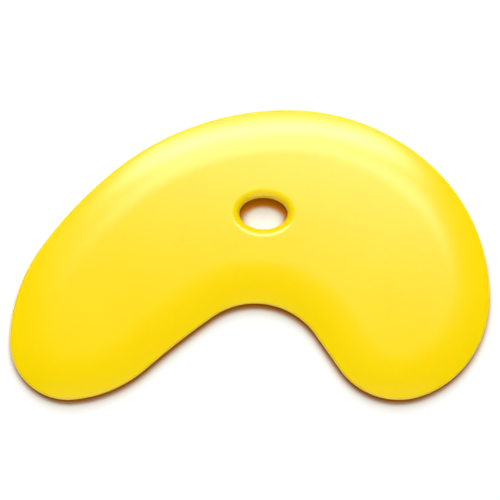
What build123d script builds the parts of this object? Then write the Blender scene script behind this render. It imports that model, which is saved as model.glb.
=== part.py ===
from build123d import *
import os
from math import sqrt

# Pottery rib: one kidney-shaped moulding of flexible polyurethane, lying on its lower face.
# X runs along the rib from the small lobe, the toe, to the large lobe, the heel.
# Y runs across it from the hollow notch to the round back. Z runs up from the face that it lies on.
# The origin is the middle of the length and width, on the lower face. Sizes are in millimetres.

# Whole rib
length = 160.0
width = 97.0
thickness = 6.0

# Outline: the radii of its two lobes, the depth of its hollow notch, and the length of the straight run from the notch
# to the heel
heel_radius = 24.0
toe_radius = 19.5
notch_depth = 32.0
heel_run = 13.7

# Radius of the back from the crown towards the toe, as a share of the length
back_radius_share = 0.582

# Places along the length, as shares of it from the middle
crown_place_share = 0.08
heel_place_share = 0.309
notch_place_share = 0.0104

# Place across the width, as a share of it from the middle, where the heel's side reaches the full length
heel_side_place_share = -0.144

# Which way the outline faces, in degrees from X, where the back meets the toe's side, where a side meets the heel, and
# at both ends of the toe's flank
back_to_toe_side = 130.0
heel_side_to_heel = -71.0
notch_to_toe_flank = -55.0
toe_flank_to_toe = -85.0

# Working edge: both faces curve down to a thin round nose
rim_width = 15.0
nose_radius = 1.0

# Oval finger hole, with a straight wall between its rounded mouths. It is placed from the middle of the length, and
# up the land between notch and crown by a share of it
hole_length = 16.0
hole_width = 10.5
hole_wall = 0.6
hole_place = 4.5
hole_place_share = 0.463


def facing(angle):
    """The direction at an angle in degrees from X."""
    return Vector(1, 0).rotate(Axis.Z, angle)


def onward(outward):
    """The way that the outline runs, clockwise, where it faces outward."""
    return outward.rotate(Axis.Z, -90)


def paired_bends(start, start_facing, end, end_facing):
    """Two tangent arcs from start to end, each as its centre, its radius and the ways it faces at its two ends."""
    leaving, arriving = onward(start_facing), onward(end_facing)
    way = end - start
    turning = 1 - leaving.dot(arriving)
    along = way.dot(leaving + arriving)
    arm = (sqrt(along**2 + 2 * turning * way.dot(way)) - along) / (2 * turning)
    joint = (start + leaving * arm + end - arriving * arm) * 0.5
    first, last = joint - start, joint - end
    first_radius = -first.dot(first) / (2 * first.dot(start_facing))
    last_radius = -last.dot(last) / (2 * last.dot(end_facing))
    first_centre = start - start_facing * first_radius
    last_centre = end - end_facing * last_radius
    joint_facing = (joint - first_centre) * (1 / first_radius)
    return [
        (first_centre, first_radius, start_facing, joint_facing),
        (last_centre, last_radius, joint_facing, end_facing),
    ]


def straight_facing(centre, radius, next_centre, next_radius):
    """The way that a straight run faces, where it touches one circle and then the next."""
    way = next_centre - centre
    along = (radius - next_radius) / way.length
    ahead = way.normalized()
    return ahead * along + ahead.rotate(Axis.Z, 90) * sqrt(1 - along**2)


# The outline's circles. The toe's touches the end and the lower side. The notch's, whose radius counts below zero,
# reaches the depth of the notch and leaves the straight run to the heel.
back_radius = back_radius_share * length
back_centre = Vector(crown_place_share * length, width / 2 - back_radius)
heel_centre = Vector(heel_place_share * length, heel_radius - width / 2)
toe_centre = Vector(toe_radius - length / 2, toe_radius - width / 2)
heel_from_notch = (heel_place_share - notch_place_share) * length
notch_radius = (heel_from_notch**2 + notch_depth**2 - heel_run**2) / (2 * notch_depth) - heel_radius
notch_centre = Vector(notch_place_share * length, notch_depth - notch_radius - width / 2)

# The outline's outermost points: the crown of the back and the ends of the length
crown = Vector(crown_place_share * length, width / 2)
heel_side = Vector(length / 2, heel_side_place_share * width)
toe_side = Vector(-length / 2, toe_radius - width / 2)

to_toe_side, into_heel = facing(back_to_toe_side), facing(heel_side_to_heel)
into_flank, into_toe = facing(notch_to_toe_flank), facing(toe_flank_to_toe)
heel_run_facing = straight_facing(heel_centre, heel_radius, notch_centre, -notch_radius)
flank_start = notch_centre - into_flank * notch_radius

# Clockwise from the back. The straight run lies between the heel and the notch.
bends = (
    [(back_centre, back_radius, to_toe_side, facing(90))]
    + paired_bends(crown, facing(90), heel_side, facing(0))
    + paired_bends(heel_side, facing(0), heel_centre + into_heel * heel_radius, into_heel)
    + [(heel_centre, heel_radius, into_heel, heel_run_facing)]
    + [(notch_centre, -notch_radius, heel_run_facing, into_flank)]
    + paired_bends(flank_start, into_flank, toe_centre + into_toe * toe_radius, into_toe)
    + [(toe_centre, toe_radius, into_toe, facing(180))]
    + paired_bends(toe_side, facing(180), back_centre + to_toe_side * back_radius, to_toe_side)
)


def draw_outline(inset):
    """Draws the outline, moved inwards by the inset, into the line that is being built."""
    ends = []
    for centre, radius, from_facing, to_facing in bends:
        start = centre + from_facing * (radius - inset)
        middle = centre + (from_facing + to_facing).normalized() * (radius - inset)
        end = centre + to_facing * (radius - inset)
        ThreePointArc(start, middle, end)
        ends.append((start, end))
    heel_end, notch_start = ends[5][1], ends[6][0]
    Line(heel_end, notch_start)


# The face's curve: a circle that lies flat on the face at the rim's inner edge and rolls over the nose
half_thickness = thickness / 2
nose_to_flat = rim_width - nose_radius
rim_radius = (nose_to_flat**2 + half_thickness**2 - nose_radius**2) / (2 * (half_thickness - nose_radius))
rim_fall_sine = nose_to_flat / (rim_radius - nose_radius)
rim_fall_cosine = sqrt(1 - rim_fall_sine**2)
half_fall_sine = sqrt((1 - rim_fall_cosine) / 2)
half_fall_cosine = sqrt((1 + rim_fall_cosine) / 2)

# The rim's section is drawn where the back starts, with its X axis pointing inwards from the nose
section_start = back_centre + to_toe_side * back_radius + Vector(0, 0, half_thickness)
section_plane = Plane(origin=section_start, x_dir=-to_toe_side, z_dir=onward(to_toe_side))

hole_centre = Vector(hole_place, notch_depth + hole_place_share * (width - notch_depth) - width / 2)
hole_rounding = (thickness - hole_wall) / 2

with BuildPart() as rib_body:
    # The flat middle
    with BuildSketch():
        with BuildLine():
            draw_outline(rim_width)
        make_face()
    extrude(amount=thickness)

    # The rim, its section swept round the outline
    with BuildLine(Plane.XY.offset(half_thickness)) as rim_path:
        draw_outline(0)
    with BuildSketch(section_plane) as rim_section:
        with BuildLine():
            upper_flat, lower_flat = (rim_width, half_thickness), (rim_width, -half_thickness)
            upper_rise = rim_radius * (1 - half_fall_cosine)
            upper_middle = (rim_width - rim_radius * half_fall_sine, half_thickness - upper_rise)
            upper_nose = (nose_radius * (1 - rim_fall_sine), nose_radius * rim_fall_cosine)
            lower_middle = (upper_middle[0], -upper_middle[1])
            lower_nose = (upper_nose[0], -upper_nose[1])
            ThreePointArc(upper_flat, upper_middle, upper_nose)
            ThreePointArc(upper_nose, (0, 0), lower_nose)
            ThreePointArc(lower_nose, lower_middle, lower_flat)
            Line(lower_flat, upper_flat)
        make_face()
    sweep(path=rim_path.line)

    # The finger hole, with its two mouths rounded
    with BuildSketch(Plane.XY.offset(thickness)) as hole_sketch:
        with Locations(hole_centre):
            Ellipse(hole_length / 2, hole_width / 2)
    extrude(amount=-thickness, mode=Mode.SUBTRACT)
    cut_edges = rib_body.edges(Select.LAST).group_by(Axis.Z)
    fillet(cut_edges[0] + cut_edges[-1], hole_rounding)

os.makedirs("parts", exist_ok=True)
rib_body.part.label = "rib_body"
export_step(rib_body.part, "parts/rib_body.step")
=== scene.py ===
import math

import bpy
from mathutils import Matrix, Vector


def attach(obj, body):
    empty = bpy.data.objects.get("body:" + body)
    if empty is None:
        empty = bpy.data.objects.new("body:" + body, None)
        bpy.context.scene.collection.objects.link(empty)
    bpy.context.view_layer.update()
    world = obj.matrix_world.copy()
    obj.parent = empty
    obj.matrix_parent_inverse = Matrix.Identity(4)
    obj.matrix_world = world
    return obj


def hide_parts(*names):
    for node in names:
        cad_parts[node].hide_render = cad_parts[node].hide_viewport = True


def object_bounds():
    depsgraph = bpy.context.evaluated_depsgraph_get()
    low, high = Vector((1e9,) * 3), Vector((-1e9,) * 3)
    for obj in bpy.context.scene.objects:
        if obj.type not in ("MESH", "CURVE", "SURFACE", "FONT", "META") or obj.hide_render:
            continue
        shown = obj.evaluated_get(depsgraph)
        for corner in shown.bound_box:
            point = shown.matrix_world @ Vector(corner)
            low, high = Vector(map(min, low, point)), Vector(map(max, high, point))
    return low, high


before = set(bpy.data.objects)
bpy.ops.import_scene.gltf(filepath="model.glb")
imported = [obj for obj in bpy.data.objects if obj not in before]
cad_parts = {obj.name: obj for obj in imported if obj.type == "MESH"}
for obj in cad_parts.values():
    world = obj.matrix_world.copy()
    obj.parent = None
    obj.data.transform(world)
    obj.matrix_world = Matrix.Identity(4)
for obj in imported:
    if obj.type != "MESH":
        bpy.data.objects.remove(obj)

cad_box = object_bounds()

# Pottery rib: one kidney-shaped moulding of flexible polyurethane, lying on its lower face.
# Sizes are in metres. The outline, the rim and the finger hole have the CAD part's sizes.

# Whole rib, as the imported model's bounds have it, to the micrometre
MICROMETRE_DIGITS = 6
LENGTH, WIDTH, THICKNESS = [round(size, MICROMETRE_DIGITS) for size in cad_box[1] - cad_box[0]]

# Outline: the radii of its two lobes, the depth of its hollow notch, and the length of the straight
# run from the notch to the heel
HEEL_RADIUS = 0.024
TOE_RADIUS = 0.0195
NOTCH_DEPTH = 0.032
HEEL_RUN = 0.0137

# Radius of the back from the crown towards the toe, as a share of the length
BACK_RADIUS_SHARE = 0.582

# Places along the length, as shares of it from the middle
CROWN_PLACE_SHARE = 0.08
HEEL_PLACE_SHARE = 0.309
NOTCH_PLACE_SHARE = 0.0104

# Place across the width, as a share of it from the middle, where the heel's side reaches the full
# length
HEEL_SIDE_PLACE_SHARE = -0.144

# Which way the outline faces, in degrees from X, where the back meets the toe's side, where a side
# meets the heel, and at both ends of the toe's flank
BACK_TO_TOE_SIDE = 130.0
HEEL_SIDE_TO_HEEL = -71.0
NOTCH_TO_TOE_FLANK = -55.0
TOE_FLANK_TO_TOE = -85.0

# Working edge: both faces curve down to a thin round nose
RIM_WIDTH = 0.015
NOSE_RADIUS = 0.001

# Oval finger hole, with a straight wall between its rounded mouths. It is placed from the middle of
# the length, and up the land between notch and crown by a share of it.
HOLE_LENGTH = 0.016
HOLE_WIDTH = 0.0105
HOLE_WALL = 0.0006
HOLE_PLACE = 0.0045
HOLE_PLACE_SHARE = 0.463

# Fine ridge that the mould's parting line leaves round the nose, in the visual model alone
PARTING_RIDGE = 0.00006
PARTING_RIDGE_WIDTH = 0.00016

# How fine the mesh is: the space between points on the outline, the points round the hole, the
# steps from the middle of each section to either end, the level band at each of those ends, and
# how near to each other points are merged
OUTLINE_SPACING = 0.0005
HOLE_POINTS = 288
RIM_STEPS = 36
MOUTH_STEPS = 20
FLAT_BAND = 0.0004
MERGE_DISTANCE = 0.000002

# The rim's points gather at the nose by this power of their share of the way
RIM_GATHERING = 2.5

# Shares of the way along the hole's section where its wall and its rounding end
WALL_END_SHARE = 0.1
ROUNDING_END_SHARE = 0.95

# The rib's two yellows, and how its roughness follows the same cloud
DEEP_YELLOW = (0.97, 0.69, 0.0, 1.0)
PALE_YELLOW = (0.985, 0.712, 0.002, 1.0)
CLOUD_RANGE = (0.3, 0.7)
ROUGHNESS_RANGE = (0.22, 0.245)

# The floor, and how far from the rib its two painted shades reach
FLOOR_LENGTH = 3.0
FLOOR_DROP = 0.00005
WARM_REACH = 0.0047
SOFT_REACH = 0.0095

# The floor's colours: in the open, in the painted soft shade, in the painted warm shade, and of the
# painted glow that stands for the light that comes through the rib
FLOOR_WHITE = (0.98, 0.98, 0.98, 1.0)
SOFT_SHADE = (0.25, 0.19, 0.03, 1.0)
WARM_SHADE = (0.34, 0.12, 0.0, 1.0)
WARM_LIGHT = (1.0, 0.27, 0.0, 1.0)

# How fast each painted shade falls off, and how strong it is. The warm one has an extra where the
# rib's own gloss mirrors the floor.
WARM_FALL = 3.0
WARM_STRENGTH = 15.0
WARM_EXTRA_IN_GLOSS = 60.0
WARM_LIGHT_STRENGTH = 0.14
SOFT_FALL = 2.0
SOFT_STRENGTH = 2.1

# Where the painted shades take the floor's light to come from, behind the rib and above it, and the
# samples that measure how much of it the rib keeps off
LIGHT_FROM = (0.0, 0.77, 0.64)
COVER_SAMPLES = 16


# The outline

def facing(angle):
    """The direction at an angle in degrees from X."""
    return Vector((math.cos(math.radians(angle)), math.sin(math.radians(angle))))


def onward(outward):
    """The way that the outline runs, clockwise, where it faces outward."""
    return Vector((outward.y, -outward.x))


def paired_bends(start, start_facing, end, end_facing):
    """Two tangent arcs from start to end.

    Each is its centre, its radius and the ways it faces at its two ends.
    """
    leaving = onward(start_facing)
    arriving = onward(end_facing)
    way = end - start
    turning = 1 - leaving.dot(arriving)
    along = way.dot(leaving + arriving)
    arm = (math.sqrt(along**2 + 2 * turning * way.dot(way)) - along) / (2 * turning)
    joint = (start + leaving * arm + end - arriving * arm) * 0.5
    first = joint - start
    last = joint - end
    first_radius = -first.dot(first) / (2 * first.dot(start_facing))
    last_radius = -last.dot(last) / (2 * last.dot(end_facing))
    first_centre = start - start_facing * first_radius
    last_centre = end - end_facing * last_radius
    joint_facing = (joint - first_centre) / first_radius
    return [
        (first_centre, first_radius, start_facing, joint_facing),
        (last_centre, last_radius, joint_facing, end_facing),
    ]


def straight_facing(centre, radius, next_centre, next_radius):
    """The way that a straight run faces, where it touches one circle and then the next."""
    way = next_centre - centre
    along = (radius - next_radius) / way.length
    ahead = way.normalized()
    across = Vector((-ahead.y, ahead.x))
    return ahead * along + across * math.sqrt(1 - along**2)


def outline_bends():
    """The arcs of the outline, clockwise from the back.

    The toe's arc touches the end and the lower side. The notch's, whose radius counts below zero,
    reaches the depth of the notch and leaves the straight run to the heel.
    """
    back_radius = BACK_RADIUS_SHARE * LENGTH
    back_centre = Vector((CROWN_PLACE_SHARE * LENGTH, WIDTH / 2 - back_radius))
    heel_centre = Vector((HEEL_PLACE_SHARE * LENGTH, HEEL_RADIUS - WIDTH / 2))
    toe_centre = Vector((TOE_RADIUS - LENGTH / 2, TOE_RADIUS - WIDTH / 2))
    heel_from_notch = (HEEL_PLACE_SHARE - NOTCH_PLACE_SHARE) * LENGTH
    both_radii = (heel_from_notch**2 + NOTCH_DEPTH**2 - HEEL_RUN**2) / (2 * NOTCH_DEPTH)
    notch_radius = both_radii - HEEL_RADIUS
    notch_centre = Vector((NOTCH_PLACE_SHARE * LENGTH, NOTCH_DEPTH - notch_radius - WIDTH / 2))

    crown = Vector((CROWN_PLACE_SHARE * LENGTH, WIDTH / 2))
    heel_side = Vector((LENGTH / 2, HEEL_SIDE_PLACE_SHARE * WIDTH))
    toe_side = Vector((-LENGTH / 2, TOE_RADIUS - WIDTH / 2))

    to_toe_side = facing(BACK_TO_TOE_SIDE)
    into_heel = facing(HEEL_SIDE_TO_HEEL)
    into_flank = facing(NOTCH_TO_TOE_FLANK)
    into_toe = facing(TOE_FLANK_TO_TOE)
    run_facing = straight_facing(heel_centre, HEEL_RADIUS, notch_centre, -notch_radius)
    heel_start = heel_centre + into_heel * HEEL_RADIUS
    flank_start = notch_centre - into_flank * notch_radius
    toe_start = toe_centre + into_toe * TOE_RADIUS
    back_start = back_centre + to_toe_side * back_radius
    return (
        [(back_centre, back_radius, to_toe_side, facing(90))]
        + paired_bends(crown, facing(90), heel_side, facing(0))
        + paired_bends(heel_side, facing(0), heel_start, into_heel)
        + [(heel_centre, HEEL_RADIUS, into_heel, run_facing)]
        + [(notch_centre, -notch_radius, run_facing, into_flank)]
        + paired_bends(flank_start, into_flank, toe_start, into_toe)
        + [(toe_centre, TOE_RADIUS, into_toe, facing(180))]
        + paired_bends(toe_side, facing(180), back_start, to_toe_side)
    )


def outline_points():
    """Points round the outline at an even spacing, its straight run included."""
    points = []
    for centre, radius, from_facing, to_facing in outline_bends():
        turn = -from_facing.angle_signed(to_facing)
        start = centre + from_facing * radius
        if points:
            # Between arcs that touch, the run is one step long and adds no points
            run = start - points[-1]
            steps = round(run.length / OUTLINE_SPACING)
            points += [points[-1] + run * (step / steps) for step in range(1, steps)]
        steps = math.ceil(abs(turn * radius) / OUTLINE_SPACING)
        for step in range(steps):
            turned = Matrix.Rotation(turn * step / steps, 2)
            points.append(centre + turned @ from_facing * radius)
    return points


def new_object(name, data):
    """A new object in the scene."""
    made = bpy.data.objects.new(name, data)
    bpy.context.scene.collection.objects.link(made)
    return made


def outline_curve():
    """The outline as a closed curve at half the rib's thickness."""
    data = bpy.data.curves.new("rib_outline", "CURVE")
    data.dimensions = "3D"
    points = outline_points()
    spline = data.splines.new("POLY")
    spline.points.add(len(points) - 1)
    for slot, point in zip(spline.points, points):
        slot.co = (point.x, point.y, THICKNESS / 2, 1)
    spline.use_cyclic_u = True
    return new_object("rib_outline", data)


# Node helpers

def add_node(tree, kind, inputs=None, **settings):
    """Adds a node with its settings.

    Each input, by its name or number, takes another node's socket or a plain value.
    """
    made = tree.nodes.new(kind)
    for name, value in settings.items():
        setattr(made, name, value)
    for name, value in (inputs or {}).items():
        if isinstance(value, bpy.types.NodeSocket):
            tree.links.new(value, made.inputs[name])
        else:
            made.inputs[name].default_value = value
    return made


def calculate(tree, operation, *values, clamp=False):
    """The result of a Math node."""
    inputs = dict(enumerate(values))
    made = add_node(tree, "ShaderNodeMath", inputs, operation=operation, use_clamp=clamp)
    return made.outputs["Value"]


def carry_over(tree, value, low, high, to_low=0.0, to_high=1.0, interpolation="LINEAR"):
    """A value carried from one range over to another, and held within it."""
    inputs = {
        "Value": value,
        "From Min": low,
        "From Max": high,
        "To Min": to_low,
        "To Max": to_high,
    }
    made = add_node(tree, "ShaderNodeMapRange", inputs, interpolation_type=interpolation)
    return made.outputs["Result"]


def combine(tree, x, y, z):
    """A vector from its three numbers."""
    return add_node(tree, "ShaderNodeCombineXYZ", {"X": x, "Y": y, "Z": z}).outputs["Vector"]


def mix_colours(tree, share, first, second):
    """The first colour where the share is 0, the second where it is 1, and between them a mix.

    A Mix node's colours go in at sockets 6 and 7 and come out at 2.
    """
    inputs = {0: share, 6: first, 7: second}
    return add_node(tree, "ShaderNodeMix", inputs, data_type="RGBA").outputs[2]


# The moulding

def section_curve(tree, steps):
    """A line of points that a section is made from, and how far along it each is, from -1 to 1."""
    line = add_node(tree, "GeometryNodeMeshLine", {"Count": 2 * steps + 1})
    curve = add_node(tree, "GeometryNodeMeshToCurve", {"Mesh": line.outputs["Mesh"]})
    index = add_node(tree, "GeometryNodeInputIndex").outputs["Index"]
    along = calculate(tree, "SUBTRACT", calculate(tree, "DIVIDE", index, steps), 1.0)
    return curve.outputs["Curve"], along


def placed_section(tree, curve, along, inwards, height):
    """The section, its points placed inwards from the path, one half above it and one below."""
    up_or_down = calculate(tree, "MULTIPLY", height, calculate(tree, "SIGN", along))
    place = combine(tree, inwards, up_or_down, 0.0)
    inputs = {"Geometry": curve, "Position": place}
    return add_node(tree, "GeometryNodeSetPosition", inputs).outputs["Geometry"]


def circle_height(tree, radius, beside):
    """How high a circle stands above its centre, at a distance beside it."""
    radius_square = calculate(tree, "MULTIPLY", radius, radius)
    beside_square = calculate(tree, "MULTIPLY", beside, beside)
    return calculate(tree, "SQRT", calculate(tree, "SUBTRACT", radius_square, beside_square))


def rim_section(tree, sizes):
    """The working edge's section: both faces fall to a thin round nose with a fine ridge."""
    curve, along = section_curve(tree, RIM_STEPS)
    share = calculate(tree, "ABSOLUTE", along)
    reach = calculate(tree, "ADD", sizes["Rim Width"], sizes["Flat Band"])
    depth = calculate(tree, "MULTIPLY", reach, calculate(tree, "POWER", share, RIM_GATHERING))
    # On the nose
    from_nose_centre = calculate(tree, "SUBTRACT", sizes["Nose Radius"], depth)
    nose_height = circle_height(tree, sizes["Nose Radius"], from_nose_centre)
    # On the arc that rolls over the nose and lies flat on the face
    short_of_flat = calculate(tree, "SUBTRACT", sizes["Rim Width"], depth)
    to_flat = calculate(tree, "MAXIMUM", short_of_flat, 0.0)
    arc_height = circle_height(tree, sizes["Rim Radius"], to_flat)
    arc_drop = calculate(tree, "SUBTRACT", sizes["Rim Radius"], arc_height)
    half_thickness = calculate(tree, "MULTIPLY", sizes["Thickness"], 0.5)
    face_height = calculate(tree, "SUBTRACT", half_thickness, arc_drop)
    on_nose = calculate(tree, "LESS_THAN", depth, sizes["Nose Reach"])
    heights = {"Factor": on_nose, "A": face_height, "B": nose_height}
    height = add_node(tree, "ShaderNodeMix", heights).outputs["Result"]
    # The nose draws back a little above and below the ridge
    ridge_width = sizes["Ridge Width"]
    ridge_height = sizes["Ridge Height"]
    drawn_back = carry_over(tree, height, 0.0, ridge_width, 0.0, ridge_height, "SMOOTHSTEP")
    inwards = calculate(tree, "ADD", depth, drawn_back)
    return placed_section(tree, curve, along, inwards, height)


def mouth_section(tree, sizes):
    """The finger hole's section: a short straight wall between two rounded mouths."""
    curve, along = section_curve(tree, MOUTH_STEPS)
    share = calculate(tree, "ABSOLUTE", along)
    wall_share = carry_over(tree, share, 0.0, WALL_END_SHARE)
    rounding_share = carry_over(tree, share, WALL_END_SHARE, ROUNDING_END_SHARE)
    band_share = carry_over(tree, share, ROUNDING_END_SHARE, 1.0)
    both_roundings = calculate(tree, "SUBTRACT", sizes["Thickness"], sizes["Hole Wall"])
    rounding = calculate(tree, "MULTIPLY", both_roundings, 0.5)
    half_wall = calculate(tree, "MULTIPLY", sizes["Hole Wall"], 0.5)
    angle = calculate(tree, "MULTIPLY", rounding_share, math.pi / 2)
    back_share = calculate(tree, "SUBTRACT", 1.0, calculate(tree, "COSINE", angle))
    back = calculate(tree, "MULTIPLY", rounding, back_share)
    band = calculate(tree, "MULTIPLY", band_share, sizes["Flat Band"])
    up_wall = calculate(tree, "MULTIPLY", half_wall, wall_share)
    up_mouth = calculate(tree, "MULTIPLY", rounding, calculate(tree, "SINE", angle))
    inwards = calculate(tree, "ADD", back, band)
    height = calculate(tree, "ADD", up_wall, up_mouth)
    return placed_section(tree, curve, along, inwards, height)


def swept(tree, path, section):
    """A section swept round a closed path that lies level."""
    level = add_node(tree, "GeometryNodeSetCurveNormal", {"Curve": path}, mode="Z_UP")
    inputs = {"Curve": level.outputs["Curve"], "Profile Curve": section}
    return add_node(tree, "GeometryNodeCurveToMesh", inputs).outputs["Mesh"]


def open_edges(tree, walls, side, thickness):
    """The open edges of the rim and the hole on one side, 1 for up and -1 for down."""
    face_count = add_node(tree, "GeometryNodeInputMeshEdgeNeighbors").outputs["Face Count"]
    # A Compare node's whole numbers go in at sockets 2 and 3
    counts = {2: face_count, 3: 1}
    is_open = add_node(tree, "FunctionNodeCompare", counts, data_type="INT", operation="EQUAL")
    place = add_node(tree, "GeometryNodeInputPosition").outputs["Position"]
    level = add_node(tree, "ShaderNodeSeparateXYZ", {"Vector": place}).outputs["Z"]
    above_middle = calculate(tree, "SUBTRACT", level, calculate(tree, "MULTIPLY", thickness, 0.5))
    on_side = calculate(tree, "GREATER_THAN", calculate(tree, "MULTIPLY", above_middle, side), 0.0)
    both = {0: is_open.outputs["Result"], 1: on_side}
    chosen = add_node(tree, "FunctionNodeBooleanMath", both, operation="AND").outputs["Boolean"]
    inputs = {"Mesh": walls, "Selection": chosen}
    return add_node(tree, "GeometryNodeMeshToCurve", inputs).outputs["Curve"]


def flat_face(tree, edges, side, thickness):
    """The flat between the open edges on one side, level with the top or the bottom."""
    filled = add_node(tree, "GeometryNodeFillCurve", {"Curve": edges}, mode="TRIANGLES")
    place = add_node(tree, "GeometryNodeInputPosition").outputs["Position"]
    across = add_node(tree, "ShaderNodeSeparateXYZ", {"Vector": place}).outputs
    level = combine(tree, across["X"], across["Y"], thickness if side > 0 else 0.0)
    inputs = {"Geometry": filled.outputs["Mesh"], "Position": level}
    face = add_node(tree, "GeometryNodeSetPosition", inputs).outputs["Geometry"]
    if side > 0:
        return face
    return add_node(tree, "GeometryNodeFlipFaces", {"Mesh": face}).outputs["Mesh"]


def join(tree, meshes):
    """Several meshes as one."""
    joined = add_node(tree, "GeometryNodeJoinGeometry")
    for mesh in meshes:
        tree.links.new(mesh, joined.inputs["Geometry"])
    return joined.outputs["Geometry"]


def moulding_tree(size_names):
    """The rib by rule: its rim swept round the outline, its hole round an oval, and two flats."""
    tree = bpy.data.node_groups.new("rib_moulding", "GeometryNodeTree")
    sockets = {"Outline": "NodeSocketGeometry"}
    sockets.update({name: "NodeSocketFloat" for name in size_names})
    sockets.update({"Hole Centre": "NodeSocketVector", "Material": "NodeSocketMaterial"})
    for name, kind in sockets.items():
        tree.interface.new_socket(name, in_out="INPUT", socket_type=kind)
    tree.interface.new_socket("Moulding", in_out="OUTPUT", socket_type="NodeSocketGeometry")
    sizes = add_node(tree, "NodeGroupInput").outputs

    rim = swept(tree, sizes["Outline"], rim_section(tree, sizes))
    # A circle 1 across, which the hole's length and width scale
    circle = {"Resolution": HOLE_POINTS, "Radius": 0.5}
    oval = {
        "Geometry": add_node(tree, "GeometryNodeCurvePrimitiveCircle", circle).outputs["Curve"],
        "Scale": combine(tree, sizes["Hole Length"], sizes["Hole Width"], 1.0),
        "Translation": sizes["Hole Centre"],
    }
    hole_path = add_node(tree, "GeometryNodeTransform", oval).outputs["Geometry"]
    hole = swept(tree, hole_path, mouth_section(tree, sizes))
    both_walls = join(tree, [rim, hole])
    walls = add_node(tree, "GeometryNodeFlipFaces", {"Mesh": both_walls}).outputs["Mesh"]

    thickness = sizes["Thickness"]
    flats = [
        flat_face(tree, open_edges(tree, walls, side, thickness), side, thickness)
        for side in (1, -1)
    ]
    made = join(tree, [walls] + flats)
    for kind, inputs in (
        ("GeometryNodeMergeByDistance", {"Distance": MERGE_DISTANCE}),
        ("GeometryNodeSetShadeSmooth", {}),
        ("GeometryNodeRealizeInstances", {}),
        ("GeometryNodeSetMaterial", {"Material": sizes["Material"]}),
    ):
        made = add_node(tree, kind, {"Geometry": made, **inputs}).outputs["Geometry"]
    add_node(tree, "NodeGroupOutput", {"Moulding": made})
    return tree


def moulding_sizes():
    """The sizes that the moulding's node tree takes in, by name."""
    half_thickness = THICKNESS / 2
    nose_to_flat = RIM_WIDTH - NOSE_RADIUS
    fall = half_thickness - NOSE_RADIUS
    rim_radius = (nose_to_flat**2 + half_thickness**2 - NOSE_RADIUS**2) / (2 * fall)
    return {
        "Thickness": THICKNESS,
        "Rim Width": RIM_WIDTH,
        "Rim Radius": rim_radius,
        "Nose Radius": NOSE_RADIUS,
        "Nose Reach": NOSE_RADIUS * (1 - nose_to_flat / (rim_radius - NOSE_RADIUS)),
        "Ridge Height": PARTING_RIDGE,
        "Ridge Width": PARTING_RIDGE_WIDTH,
        "Flat Band": FLAT_BAND,
        "Hole Length": HOLE_LENGTH,
        "Hole Width": HOLE_WIDTH,
        "Hole Wall": HOLE_WALL,
    }


def moulded_rib(material):
    """The finished moulding as a plain mesh object."""
    hole_up_land = HOLE_PLACE_SHARE * (WIDTH - NOTCH_DEPTH)
    hole_centre = Vector((HOLE_PLACE, NOTCH_DEPTH + hole_up_land - WIDTH / 2, THICKNESS / 2))
    sizes = moulding_sizes()
    values = {**sizes, "Hole Centre": hole_centre, "Material": material}
    path = outline_curve()
    modifier = path.modifiers.new("moulding", "NODES")
    modifier.node_group = moulding_tree(sizes)
    for socket in modifier.node_group.interface.items_tree:
        if socket.in_out == "INPUT" and socket.name in values:
            modifier[socket.identifier] = values[socket.name]
    evaluated = path.evaluated_get(bpy.context.evaluated_depsgraph_get())
    mesh = bpy.data.meshes.new_from_object(evaluated)
    mesh.name = "rib_moulding"
    bpy.data.objects.remove(path)
    return new_object("rib_moulding", mesh)


# Materials

def new_material(name):
    """An empty node material and its tree."""
    made = bpy.data.materials.new(name)
    made.use_nodes = True
    made.node_tree.nodes.clear()
    return made, made.node_tree


def noise(tree, place, scale, detail, roughness):
    """A noise over the surface, from 0 to 1."""
    inputs = {"Vector": place, "Scale": scale, "Detail": detail, "Roughness": roughness}
    return add_node(tree, "ShaderNodeTexNoise", inputs).outputs["Fac"]


def polyurethane():
    """Flexible yellow polyurethane: satin, slightly cloudy, with a fine moulding texture."""
    material, tree = new_material("yellow_polyurethane")
    place = add_node(tree, "ShaderNodeTexCoord").outputs["Object"]
    cloud = noise(tree, place, scale=38.0, detail=3.0, roughness=0.5)
    grain = noise(tree, place, scale=2600.0, detail=2.0, roughness=0.6)
    relief = {"Height": grain, "Strength": 0.035, "Distance": 0.0002}
    bump = add_node(tree, "ShaderNodeBump", relief)
    shader = add_node(
        tree,
        "ShaderNodeBsdfPrincipled",
        {
            "Base Color": mix_colours(tree, cloud, DEEP_YELLOW, PALE_YELLOW),
            "Roughness": carry_over(tree, cloud, *CLOUD_RANGE, *ROUGHNESS_RANGE),
            "Normal": bump.outputs["Normal"],
            "IOR": 1.5,
            "Subsurface Weight": 0.3,
            "Subsurface Radius": (1.0, 0.5, 0.05),
            "Subsurface Scale": 0.0018,
        },
    )
    add_node(tree, "ShaderNodeOutputMaterial", {"Surface": shader.outputs["BSDF"]})
    return material


def covered_share(tree, reach):
    """The share of the light from the back and above that something within reach keeps off the
    floor, the mask of the painted shades.
    """
    inputs = {"Distance": reach, "Normal": combine(tree, *LIGHT_FROM)}
    sky = add_node(tree, "ShaderNodeAmbientOcclusion", inputs, samples=COVER_SAMPLES)
    return calculate(tree, "SUBTRACT", 1.0, sky.outputs["AO"])


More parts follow.
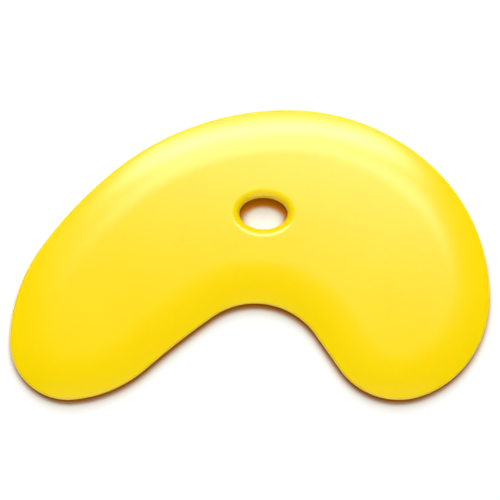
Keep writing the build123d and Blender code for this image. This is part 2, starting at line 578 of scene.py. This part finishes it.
def pale_floor():
    """A plain white floor that keeps the rib's shadow, with painted warm shade and a painted glow
    near the rib for the light through it.
    """
    material, tree = new_material("pale_floor")
    rays = add_node(tree, "ShaderNodeLightPath").outputs
    in_gloss = rays["Is Glossy Ray"]
    # Painted shade: the floor's colour turns soft grey-brown, then warm brown, where the rib covers
    # it
    warm_cover = calculate(tree, "POWER", covered_share(tree, WARM_REACH), WARM_FALL)
    warm_strength = calculate(tree, "MULTIPLY_ADD", in_gloss, WARM_EXTRA_IN_GLOSS, WARM_STRENGTH)
    warm_shade_share = calculate(tree, "MULTIPLY", warm_cover, warm_strength, clamp=True)
    soft_cover = calculate(tree, "POWER", covered_share(tree, SOFT_REACH), SOFT_FALL)
    soft_shade_share = calculate(tree, "MULTIPLY", soft_cover, SOFT_STRENGTH, clamp=True)
    shaded = mix_colours(tree, soft_shade_share, FLOOR_WHITE, SOFT_SHADE)
    colour = mix_colours(tree, warm_shade_share, shaded, WARM_SHADE)
    paint = add_node(tree, "ShaderNodeBsdfDiffuse", {"Color": colour})
    # Painted glow: a warm emission, seen by the camera and in gloss, where the rib covers the floor
    seen = calculate(tree, "ADD", rays["Is Camera Ray"], in_gloss, clamp=True)
    light_share = calculate(tree, "MULTIPLY", warm_shade_share, WARM_LIGHT_STRENGTH)
    strength = calculate(tree, "MULTIPLY", seen, light_share)
    painted_glow = add_node(tree, "ShaderNodeEmission", {"Color": WARM_LIGHT, "Strength": strength})
    shaders = {0: paint.outputs["BSDF"], 1: painted_glow.outputs["Emission"]}
    both = add_node(tree, "ShaderNodeAddShader", shaders)
    add_node(tree, "ShaderNodeOutputMaterial", {"Surface": both.outputs["Shader"]})
    return material


# The rib

rib = moulded_rib(polyurethane())
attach(rib, "root")
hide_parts("rib_body")


# Floor, light and camera

def make_floor():
    """A wide level floor just under the rib."""
    half = FLOOR_LENGTH / 2
    corners = [(-half, -half), (half, -half), (half, half), (-half, half)]
    mesh = bpy.data.meshes.new("floor")
    mesh.from_pydata([(x, y, -FLOOR_DROP) for x, y in corners], [], [(0, 1, 2, 3)])
    mesh.materials.append(pale_floor())
    new_object("floor", mesh)


def aim(thing, place, target):
    """Puts a lamp or camera at a place, facing a target, its top towards the rib's back."""
    thing.location = place
    thing.rotation_mode = "QUATERNION"
    thing.rotation_quaternion = (Vector(target) - Vector(place)).to_track_quat("-Z", "Y")


def soft_box(name, place, wide, deep, power):
    """A rectangular soft box that faces the rib, its power in watts."""
    data = bpy.data.lights.new(name, "AREA")
    data.shape = "RECTANGLE"
    data.size = wide
    data.size_y = deep
    data.energy = power
    aim(new_object(name, data), place, (0.0, 0.0, 0.0))


def round_light(strength):
    """Even light from all round."""
    world = bpy.data.worlds.new("studio")
    world.use_nodes = True
    tree = world.node_tree
    tree.nodes.clear()
    inputs = {"Color": (1.0, 1.0, 1.0, 1.0), "Strength": strength}
    sky = add_node(tree, "ShaderNodeBackground", inputs)
    add_node(tree, "ShaderNodeOutputWorld", {"Surface": sky.outputs["Background"]})
    bpy.context.scene.world = world


def make_camera(elevation, distance, target, lens):
    """The camera, in front of the rib and nearly straight above it. The lens is in millimetres."""
    data = bpy.data.cameras.new("camera")
    data.sensor_width = 36.0
    data.lens = lens
    data.clip_start = 0.01
    made = new_object("camera", data)
    tilt = math.radians(elevation)
    back = Vector((0.0, -math.cos(tilt), math.sin(tilt)))
    aim(made, Vector(target) + back * distance, target)
    bpy.context.scene.camera = made


make_floor()
round_light(strength=0.005)
soft_box("back_box", place=(0.0, 0.97, 1.75), wide=1.5, deep=0.4, power=29.5)
soft_box("low_box", place=(0.0, 1.58, 1.23), wide=1.6, deep=0.9, power=9.5)
soft_box("top_card", place=(0.08, 0.474, 1.943), wide=1.1, deep=0.4, power=11.6)
soft_box("right_card", place=(0.32, 0.22, 1.97), wide=0.3, deep=0.2, power=0.35)
soft_box("front_card", place=(0.0, -1.41, 1.41), wide=1.6, deep=1.2, power=3.0)
soft_box("low_front_card", place=(0.0, -1.93, 0.52), wide=1.6, deep=0.8, power=9.6)
make_camera(elevation=87.0, distance=0.4849, target=(0.0, 0.0014, THICKNESS / 2), lens=104.47)
bpy.context.scene.view_settings.view_transform = "Standard"
